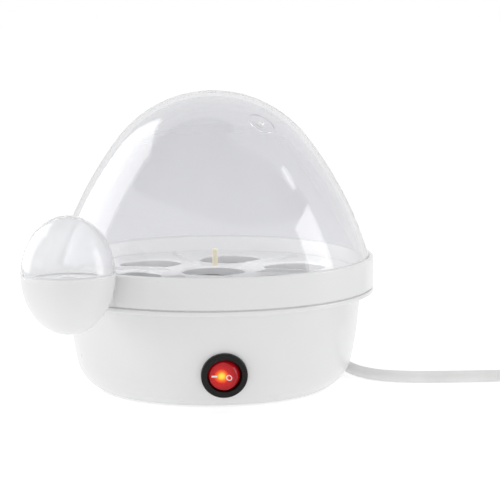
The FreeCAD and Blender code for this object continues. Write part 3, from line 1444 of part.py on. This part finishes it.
os.makedirs("parts", exist_ok=True)
for node in NODES:
    shape = node()
    state = "" if shape.isValid() else "INVALID"
    print(node.__name__, len(shape.Solids), "solids, volume", round(shape.Volume, 1), state)
    shape.exportStep(f"parts/{node.__name__}.step")
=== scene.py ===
import json
import math

import bpy
from mathutils import Matrix, Vector


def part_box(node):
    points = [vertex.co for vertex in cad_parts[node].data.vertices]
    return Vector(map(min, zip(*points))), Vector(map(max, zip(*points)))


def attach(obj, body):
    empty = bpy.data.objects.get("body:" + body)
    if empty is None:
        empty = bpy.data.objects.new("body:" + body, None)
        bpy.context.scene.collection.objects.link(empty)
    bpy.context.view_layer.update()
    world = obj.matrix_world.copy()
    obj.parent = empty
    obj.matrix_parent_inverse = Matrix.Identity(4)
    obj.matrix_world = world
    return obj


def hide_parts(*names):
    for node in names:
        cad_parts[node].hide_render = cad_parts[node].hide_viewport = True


# Looks of the egg cooker: clear dome, white moulded plastic, lit rocker switch and white mains lead.
# Metres, in the same frame as the solids: +Z up, the table is z = 0 and the switch faces -Y.

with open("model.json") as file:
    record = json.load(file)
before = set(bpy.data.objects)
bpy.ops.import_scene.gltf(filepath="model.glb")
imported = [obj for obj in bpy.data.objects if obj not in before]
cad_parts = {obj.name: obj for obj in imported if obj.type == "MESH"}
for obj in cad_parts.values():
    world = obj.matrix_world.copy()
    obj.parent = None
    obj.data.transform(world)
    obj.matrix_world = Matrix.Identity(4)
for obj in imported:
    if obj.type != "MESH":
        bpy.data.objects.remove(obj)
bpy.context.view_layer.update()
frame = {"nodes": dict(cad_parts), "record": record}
nodes = frame["nodes"]
scene = bpy.context.scene
scene.view_settings.view_transform = "Standard"

CORD_DIAMETER = 0.0068
WHITE = (1.0, 1.0, 1.0, 1.0)

# Insulation of the wires and of the lead's cores
BROWN = (0.20, 0.08, 0.03)
GREEN = (0.22, 0.45, 0.05)
BLUE = (0.03, 0.12, 0.42)

# Heart of the lamp's light in the rocker, and how far it reaches
GLOW = (-0.0015, -0.0799, 0.0198)
GLOW_REACH = 0.011

# Half the width of the three cores side by side
CORES_HALF = 0.012

# Milky faces of the clear pieces: the dome below the tray's rim, the rim of the cup and the walls of the vent
DOME_SKIRT_TOP = 0.0741
CUP_RIM_TOP = 0.0776
VENT_HUB = Vector((0.0, 0.0, 0.0995))
VENT_OUT = Vector((0.4826, 0.4997, 0.7193))
VENT_START = 0.06
VENT_RADIUS = 0.0088
VENT_STEEP = 0.5

# Middle of the switch and its directions, and the printed marks on its rocker
SWITCH = Vector((0.0, -0.0764269, 0.0203827))
SWITCH_UP = Vector((0.0, -0.19133, 0.98153))
SWITCH_OUT = Vector((0.0, -0.98153, -0.19133))
MARK_DEPTH = 0.00006
OFF_LEAN = math.radians(20.0)
BAR_LENGTH = 0.003
BAR_WIDTH = 0.001
BAR_INSET = 0.00049
RING_INNER = 0.00115
RING_OUTER = 0.00165

# The photograph's camera, fitted to the round edges in it
CAMERA_SPOT = (-0.07744, -1.1975, 0.2423)
CAMERA_LENS = 154.62
CAMERA_TURN = math.radians(-3.7 - 0.984)
CAMERA_FALL = 0.1375
CAMERA_ROLL = -0.0085

FLOOR_HALF = 6.0


# Node helpers

class Shader:
    """A material's node tree with short calls to add and join nodes."""

    def __init__(self, name):
        self.material = bpy.data.materials.new(name)
        self.material.use_nodes = True
        self.tree = self.material.node_tree
        self.tree.nodes.clear()
        self.output = self.add("ShaderNodeOutputMaterial")

    def add(self, kind, **settings):
        """A new node with its settings."""
        node = self.tree.nodes.new(kind)
        for name, value in settings.items():
            setattr(node, name, value)
        return node

    def join(self, source, target):
        """A link between two sockets."""
        self.tree.links.new(source, target)

    def place(self):
        """The point on the piece, in the object's own frame."""
        return self.add("ShaderNodeTexCoord").outputs["Object"]

    def noise(self, scale, detail=3.0, at=None):
        """Noise over the piece, in waves per metre."""
        node = self.add("ShaderNodeTexNoise")
        node.inputs["Scale"].default_value = scale
        node.inputs["Detail"].default_value = detail
        self.join(at or self.place(), node.inputs["Vector"])
        return node.outputs["Fac"]

    def ramp(self, value, stops):
        """Colours or greys along a value from 0 to 1."""
        node = self.add("ShaderNodeValToRGB")
        elements = node.color_ramp.elements
        while len(elements) < len(stops):
            elements.new(0.5)
        for element, (position, colour) in zip(elements, stops):
            element.position = position
            element.color = colour if len(colour) == 4 else (*colour, 1.0)
        self.join(value, node.inputs["Fac"])
        return node.outputs["Color"]

    def span(self, value, low, high):
        """A value from 0 to 1 spread between two numbers."""
        node = self.add("ShaderNodeMapRange")
        node.inputs["To Min"].default_value = low
        node.inputs["To Max"].default_value = high
        self.join(value, node.inputs["Value"])
        return node.outputs["Result"]

    def bump(self, height, strength, distance):
        """A normal from a height."""
        node = self.add("ShaderNodeBump")
        node.inputs["Strength"].default_value = strength
        node.inputs["Distance"].default_value = distance
        self.join(height, node.inputs["Height"])
        return node.outputs["Normal"]

    def surface(self, **values):
        """The main shader, with plain values on its own sockets."""
        node = self.add("ShaderNodeBsdfPrincipled")
        for name, value in values.items():
            node.inputs[name.replace("_", " ")].default_value = value
        self.join(node.outputs["BSDF"], self.output.inputs["Surface"])
        return node


def grey(value):
    """A neutral colour."""
    return (value, value, value)


# Materials

def moulded(name, colour, rough, grain=0.15, **values):
    """Moulded plastic: a faint drift of tone, uneven gloss and a fine skin."""
    shader = Shader(name)
    main = shader.surface(**values)
    drift = shader.noise(14.0)
    dark = tuple(c * 0.965 for c in colour)
    shader.join(shader.ramp(drift, [(0.3, dark), (0.7, colour)]), main.inputs["Base Color"])
    shader.join(shader.span(shader.noise(160.0), rough - 0.05, rough + 0.05), main.inputs["Roughness"])
    shader.join(shader.bump(shader.noise(900.0, 2.0), grain, 0.00006), main.inputs["Normal"])
    return shader.material


def soft(name, colour, rough):
    """Flexible sheath or rubber with a dull, slightly grainy skin."""
    shader = Shader(name)
    main = shader.surface()
    dark = tuple(c * 0.93 for c in colour)
    shader.join(shader.ramp(shader.noise(60.0), [(0.3, dark), (0.7, colour)]), main.inputs["Base Color"])
    shader.join(shader.span(shader.noise(300.0), rough - 0.06, rough + 0.06), main.inputs["Roughness"])
    shader.join(shader.bump(shader.noise(1800.0, 2.0), 0.25, 0.00008), main.inputs["Normal"])
    return shader.material


def metal(name, colour, rough, stretch=(1.0, 1.0, 30.0)):
    """Metal with fine drawn lines."""
    shader = Shader(name)
    main = shader.surface(Metallic=1.0)
    lines = shader.add("ShaderNodeMapping")
    lines.inputs["Scale"].default_value = stretch
    shader.join(shader.place(), lines.inputs["Vector"])
    streak = shader.noise(220.0, 4.0, lines.outputs["Vector"])
    dark = tuple(c * 0.8 for c in colour)
    shader.join(shader.ramp(streak, [(0.25, dark), (0.75, colour)]), main.inputs["Base Color"])
    shader.join(shader.span(streak, rough - 0.08, rough + 0.1), main.inputs["Roughness"])
    shader.join(shader.bump(streak, 0.1, 0.00005), main.inputs["Normal"])
    return shader.material


def clear(name, colour, clarity=1.0):
    """Clear or slightly milky plastic that lets lamp light through to what it covers."""
    shader = Shader(name)
    main = shader.surface(Base_Color=(*colour, 1.0), IOR=1.49, Transmission_Weight=clarity)
    shader.join(shader.span(shader.noise(30.0), 0.0, 0.03), main.inputs["Roughness"])
    through = shader.add("ShaderNodeBsdfTransparent")
    through.inputs["Color"].default_value = WHITE
    path = shader.add("ShaderNodeLightPath")
    shown = main.outputs["BSDF"]
    for ray in ("Is Diffuse Ray", "Is Shadow Ray"):
        mix = shader.add("ShaderNodeMixShader")
        shader.join(path.outputs[ray], mix.inputs["Fac"])
        shader.join(shown, mix.inputs[1])
        shader.join(through.outputs["BSDF"], mix.inputs[2])
        shown = mix.outputs["Shader"]
    shader.join(shown, shader.output.inputs["Surface"])
    return shader.material


def lit_red(name):
    """Red rocker lit from behind: a yellow heart that falls off to deep red."""
    shader = Shader(name)
    main = shader.surface(
        Specular_IOR_Level=0.15, Coat_Weight=0.3, Coat_Roughness=0.05, Emission_Strength=1.0,
    )
    away = shader.add("ShaderNodeVectorMath", operation="DISTANCE")
    away.inputs[1].default_value = GLOW
    shader.join(shader.place(), away.inputs[0])
    reach = shader.add("ShaderNodeMapRange")
    reach.inputs["From Max"].default_value = GLOW_REACH
    shader.join(away.outputs["Value"], reach.inputs["Value"])
    light = shader.ramp(reach.outputs["Result"], [
        (0.0, (1.0, 0.85, 0.12)), (0.12, (1.0, 0.68, 0.04)), (0.24, (0.76, 0.14, 0.01)),
        (0.38, (0.28, 0.006, 0.003)), (0.65, (0.08, 0.001, 0.002)), (1.0, (0.01, 0.0, 0.0)),
    ])
    shader.join(light, main.inputs["Emission Color"])
    tone = shader.ramp(shader.noise(120.0), [(0.3, (0.32, 0.003, 0.007)), (0.7, (0.40, 0.005, 0.009))])
    shader.join(tone, main.inputs["Base Color"])
    shader.join(shader.span(shader.noise(400.0), 0.14, 0.22), main.inputs["Roughness"])
    return shader.material


def three_cores(name):
    """Insulation of the three cores side by side: brown, green and blue."""
    shader = Shader(name)
    main = shader.surface(Roughness=0.5)
    split = shader.add("ShaderNodeSeparateXYZ")
    shader.join(shader.place(), split.inputs["Vector"])
    across = shader.add("ShaderNodeMapRange")
    across.inputs["From Min"].default_value = -CORES_HALF
    across.inputs["From Max"].default_value = CORES_HALF
    shader.join(split.outputs["X"], across.inputs["Value"])
    colours = shader.ramp(across.outputs["Result"], [
        (0.0, BROWN), (0.44, BROWN), (0.45, GREEN), (0.55, GREEN), (0.56, BLUE), (1.0, BLUE),
    ])
    shader.join(colours, main.inputs["Base Color"])
    return shader.material


LOOKS = {
    "white_plastic": moulded(
        "white_plastic", (0.865, 0.865, 0.868), 0.30, Coat_Weight=0.4, Coat_Roughness=0.15,
    ),
    "cream_plastic": moulded("cream_plastic", (0.94, 0.87, 0.66), 0.3),
    "clear_plastic": clear("clear_plastic", (0.822, 0.823, 0.842)),
    "black_plastic": moulded("black_plastic", grey(0.008), 0.36, Specular_IOR_Level=0.2),
    "red_lens": lit_red("red_lens"),
    "lamp_glass": moulded(
        "lamp_glass", (0.9, 0.45, 0.15), 0.1, Emission_Strength=0.6, Emission_Color=(1.0, 0.5, 0.15, 1.0),
    ),
    "phenolic": moulded("phenolic", (0.05, 0.042, 0.04), 0.5),
    "block_nylon": moulded("block_nylon", (0.78, 0.76, 0.70), 0.5),
    "fuse_sleeve": soft("fuse_sleeve", (0.74, 0.71, 0.64), 0.8),
    "cord_white": soft("cord_white", (0.885, 0.885, 0.88), 0.42),
    "core_colours": three_cores("core_colours"),
    "wire_brown": soft("wire_brown", BROWN, 0.5),
    "wire_black": soft("wire_black", grey(0.03), 0.5),
    "wire_blue": soft("wire_blue", BLUE, 0.5),
    "wire_green": soft("wire_green", GREEN, 0.5),
    "foot_rubber": soft("foot_rubber", grey(0.62), 0.75),
    "gasket_silicone": soft("gasket_silicone", (0.62, 0.16, 0.08), 0.7),
    "plate_steel": metal("plate_steel", (0.55, 0.55, 0.555), 0.42, (1.0, 1.0, 1.0)),
    "element_steel": metal("element_steel", (0.28, 0.26, 0.25), 0.5),
    "screw_steel": metal("screw_steel", (0.62, 0.62, 0.60), 0.34),
    "contact_brass": metal("contact_brass", (0.78, 0.60, 0.30), 0.3),
    "pin_nickel": metal("pin_nickel", (0.74, 0.71, 0.66), 0.2),
}
for part in frame["record"]["subparts"]:
    data = nodes[part["node"]].data
    data.materials.clear()
    data.materials.append(LOOKS[part["material_slot"]])
nodes["measuring_cup"].data.materials[0] = clear("clear_cup", (0.92, 0.924, 0.938), 0.70)
nodes["piercing_needle"].data.materials[0] = metal("needle_steel", grey(0.92), 0.4)
MILKY = clear("clear_edge", grey(0.96), 0.3)


def milky(node, chosen):
    """A milky moulded skin on some faces of a clear piece."""
    data = nodes[node].data
    data.materials.append(MILKY)
    for face in data.polygons:
        if chosen(face, [data.vertices[corner].co for corner in face.vertices]):
            face.material_index = 1


def below(top):
    """Faces wholly under a height, where a clear piece stands in or on what holds it."""
    return lambda face, corners: max(corner.z for corner in corners) < top


def skirt_or_vent(face, corners):
    """Faces of the dome inside the tray's rim, and the steep ones of its vent."""
    if below(DOME_SKIRT_TOP)(face, corners):
        return True
    arm = face.center - VENT_HUB
    along = arm.dot(VENT_OUT)
    away = (arm - VENT_OUT * along).length
    steep = abs(face.normal.dot(VENT_OUT)) < VENT_STEEP
    return along > VENT_START and away < VENT_RADIUS and steep


milky("dome_lid", skirt_or_vent)
milky("measuring_cup", below(CUP_RIM_TOP))


# Mains lead

def coil_points(start, heading, radius, pitch, low, quarters, per_quarter):
    """Spiral in on a lower layer and out on an upper one, as points from the lead's end."""
    turn = math.radians(heading)
    ahead = Vector((math.cos(turn), math.sin(turn), 0.0))
    centre = Vector(start) + ahead * CORD_DIAMETER + Vector((-ahead.y, ahead.x, 0.0)) * radius
    total = quarters / 4
    points = []
    for step in range(quarters * per_quarter + 1):
        turns = step / per_quarter / 4
        size = radius - pitch * min(turns, total - turns)
        climb = min(1.0, max(0.0, (turns - total / 2) / 0.5 + 0.5))
        angle = turn - math.pi / 2 + turns * 2 * math.pi
        lift = low + pitch * climb * climb * (3 - 2 * climb)
        points.append((centre.x + size * math.cos(angle), centre.y + size * math.sin(angle), lift))
    return points


def mains_lead():
    """One smooth line from the strain relief to the plug, round as the lead."""
    gland_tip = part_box("cord_gland")[1].y
    route = [
        (0.0, gland_tip, 0.012), (0.0, 0.124, 0.012), (0.0144, 0.1438, 0.0104),
        (0.0377, 0.1514, 0.0086), (0.061, 0.1438, 0.0072), (0.0754, 0.124, 0.0062),
        (0.0758, 0.088, 0.0056), (0.0748, 0.0439, 0.0052), (0.0781, 0.0121, 0.0046),
        (0.0879, -0.003, 0.0037), (0.1035, -0.012, 0.0035), (0.131, -0.0152, 0.0035),
        (0.1585, -0.0176, 0.0038), (0.187, -0.0211, 0.00465), (0.212, -0.0235, 0.00465),
    ]
    coil = coil_points(
        route[-1], heading=-5.5, radius=0.0415, pitch=0.0073, low=0.00465, quarters=9, per_quarter=6,
    )
    tail = [
        (0.26471, 0.01995, 0.01195), (0.26643, 0.03787, 0.01195),
        (0.26727, 0.06185, 0.0165), (0.26696, 0.07985, 0.0165),
    ]
    points = route + coil + tail
    curve = bpy.data.curves.new("mains_lead", "CURVE")
    curve.dimensions = "3D"
    curve.bevel_depth = CORD_DIAMETER / 2
    curve.bevel_resolution = 8
    curve.resolution_u = 8
    spline = curve.splines.new("NURBS")
    spline.points.add(len(points) - 1)
    for spot, point in zip(points, spline.points):
        point.co = (*spot, 1.0)
    spline.order_u = 3
    spline.use_endpoint_u = True
    lead = bpy.data.objects.new("mains_lead", curve)
    scene.collection.objects.link(lead)
    curve.materials.append(LOOKS["cord_white"])
    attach(lead, "base")
    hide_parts("power_cord", "cord_coil", "cord_tail")


mains_lead()


# Marks on the rocker

def mark(name, middle, lean, outlines):
    """A thin printed mark: strips between two outlines, laid on one half of the rocker's face."""
    across = Vector((math.cos(lean), 0.0, 0.0)) + SWITCH_OUT * math.sin(lean)
    out = across.cross(SWITCH_UP)
    centre = SWITCH + Vector((middle[0], 0.0, 0.0)) + SWITCH_UP * middle[1] + SWITCH_OUT * middle[2]
    points = [
        centre + across * x + SWITCH_UP * y + out * depth
        for depth in (0.0, MARK_DEPTH) for outline in outlines for x, y in outline
    ]
    count = len(outlines[0])
    faces = []
    for step in range(count):
        near, far = step, (step + 1) % count
        inner, outer = (near, far), (near + count, far + count)
        top = 2 * count
        faces.append((inner[0], inner[1], outer[1], outer[0]))
        faces.append((inner[0] + top, outer[0] + top, outer[1] + top, inner[1] + top))
        faces.append((outer[0], outer[1], outer[1] + top, outer[0] + top))
        faces.append((inner[1], inner[0], inner[0] + top, inner[1] + top))
    mesh = bpy.data.meshes.new(name)
    mesh.from_pydata(points, [], faces)
    mesh.materials.append(LOOKS["white_plastic"])
    piece = bpy.data.objects.new(name, mesh)
    scene.collection.objects.link(piece)
    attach(piece, "rocker")


def ring(radius, count=32):
    """Points round a circle."""
    turns = [2 * math.pi * step / count for step in range(count)]
    return [(radius * math.cos(turn), radius * math.sin(turn)) for turn in turns]


def bar(inset):
    """Corners of a lying bar, drawn in by an inset."""
    x, y = BAR_LENGTH / 2 - inset, BAR_WIDTH / 2 - inset
    return [(-x, -y), (x, -y), (x, y), (-x, y)]


mark("mark_on", (-0.0054, 0.0, 0.00357), 0.0, [bar(BAR_INSET), bar(0.0)])
mark("mark_off", (0.0024, -0.0005, 0.00467), OFF_LEAN, [ring(RING_INNER), ring(RING_OUTER)])


# Studio

def ray_share(tree):
    """1 for rays from the camera, mirrors and glass, so that they see a white studio."""
    path = tree.nodes.new("ShaderNodeLightPath")
    share = path.outputs["Is Camera Ray"]
    for ray in ("Is Glossy Ray", "Is Transmission Ray"):
        larger = tree.nodes.new("ShaderNodeMath")
        larger.operation = "MAXIMUM"
        tree.links.new(share, larger.inputs[0])
        tree.links.new(path.outputs[ray], larger.inputs[1])
        share = larger.outputs["Value"]
    return share


def studio_world(ambient):
    """White for what sees the studio, and a softer white for what it lights."""
    world = bpy.data.worlds.new("studio")
    world.use_nodes = True
    scene.world = world
    tree = world.node_tree
    sky = tree.nodes["Background"]
    sky.inputs["Color"].default_value = WHITE
    strength = tree.nodes.new("ShaderNodeMapRange")
    strength.inputs["To Min"].default_value = ambient
    tree.links.new(ray_share(tree), strength.inputs["Value"])
    tree.links.new(strength.outputs["Result"], sky.inputs["Strength"])


def studio_floor(glow, lift, mirrored):
    """Pale floor that keeps the object's shadow and reads white away from it."""
    mesh = bpy.data.meshes.new("floor")
    corners = [(x * FLOOR_HALF, y * FLOOR_HALF, 0.0) for x, y in ((-1, -1), (1, -1), (1, 1), (-1, 1))]
    mesh.from_pydata(corners, [], [(0, 1, 2, 3)])
    floor = bpy.data.objects.new("floor", mesh)
    scene.collection.objects.link(floor)
    shader = Shader("floor")
    main = shader.surface(Base_Color=(0.78, 0.78, 0.78, 1.0), Roughness=0.7, Specular_IOR_Level=0.0)
    shine = shader.add("ShaderNodeEmission")
    shine.inputs["Color"].default_value = WHITE
    path = shader.add("ShaderNodeLightPath")
    bent = shader.add("ShaderNodeMath", operation="MAXIMUM")
    shader.join(path.outputs["Is Glossy Ray"], bent.inputs[0])
    shader.join(path.outputs["Is Transmission Ray"], bent.inputs[1])
    strength = shader.add("ShaderNodeMath", operation="ADD")
    shader.join(shader.span(path.outputs["Is Camera Ray"], glow, lift), strength.inputs[0])
    shader.join(shader.span(bent.outputs["Value"], 0.0, mirrored), strength.inputs[1])
    shader.join(strength.outputs["Value"], shine.inputs["Strength"])
    both = shader.add("ShaderNodeAddShader")
    shader.join(main.outputs["BSDF"], both.inputs[0])
    shader.join(shine.outputs["Emission"], both.inputs[1])
    shader.join(both.outputs["Shader"], shader.output.inputs["Surface"])
    mesh.materials.append(shader.material)


def softbox(name, spot, target, width, height, glow, shape="RECTANGLE", matte=True, gloss=True):
    """Flat lamp of an even glow that faces a point and lights matte surfaces, gloss or both."""
    lamp = bpy.data.lights.new(name, "AREA")
    lamp.shape = shape
    lamp.size = width
    lamp.size_y = height
    lamp.energy = glow * math.pi * width * height
    light = bpy.data.objects.new(name, lamp)
    light.location = spot
    light.rotation_euler = (Vector(target) - Vector(spot)).to_track_quat("-Z", "Y").to_euler()
    light.visible_camera = False
    light.visible_diffuse = matte
    light.visible_glossy = gloss
    light.visible_transmission = gloss
    scene.collection.objects.link(light)


def camera():
    """The photograph's view: a long lens a little above the rim, turned and rolled slightly."""
    data = bpy.data.cameras.new("camera")
    data.sensor_width = 36.0
    data.lens = CAMERA_LENS
    data.clip_end = 50.0
    view = bpy.data.objects.new("camera", data)
    level = math.cos(CAMERA_FALL)
    ahead = Vector((-math.sin(CAMERA_TURN) * level, math.cos(CAMERA_TURN) * level, -math.sin(CAMERA_FALL)))
    face = ahead.to_track_quat("-Z", "Y").to_matrix() @ Matrix.Rotation(CAMERA_ROLL, 3, "Z")
    view.matrix_world = Matrix.Translation(CAMERA_SPOT) @ face.to_4x4()
    scene.collection.objects.link(view)
    scene.camera = view


studio_world(ambient=0.65)
studio_floor(glow=0.33, lift=0.53, mirrored=0.13)
softbox("left_panel", (-0.855, 0.565, 0.63), (0.0, 0.0, 0.63), 0.88, 1.22, 1.95, matte=False)
softbox("right_panel", (1.088, -0.163, 0.355), (0.0, 0.0, 0.355), 0.45, 0.71, 2.3, matte=False)
softbox("small_lamp", (1.1, -0.02, 0.98), (0.0, 0.0, 0.12), 0.14, 0.19, 1.9, "ELLIPSE", matte=False)
softbox("top_fill", (0.0, 0.0, 1.5), (0.0, 0.0, 0.0), 1.0, 1.0, 1.0, gloss=False)
softbox("left_fill", (-1.2, -0.25, 0.25), (0.0, 0.0, 0.05), 0.7, 0.5, 1.8, gloss=False)
softbox("right_fill", (1.2, -0.25, 0.25), (0.0, 0.0, 0.05), 0.7, 0.5, 1.2, gloss=False)
softbox("tray_left", (-0.045, 0.0, 0.098), (-0.03, 0.085, 0.075), 0.05, 0.025, 3.6, gloss=False)
softbox("tray_right", (0.045, 0.0, 0.098), (0.03, 0.085, 0.075), 0.05, 0.025, 3.6, gloss=False)
softbox("cup_fill", (-0.0817, -0.0817, 0.086), (-0.08, -0.0597, 0.079), 0.02, 0.008, 4.0, gloss=False)
camera()
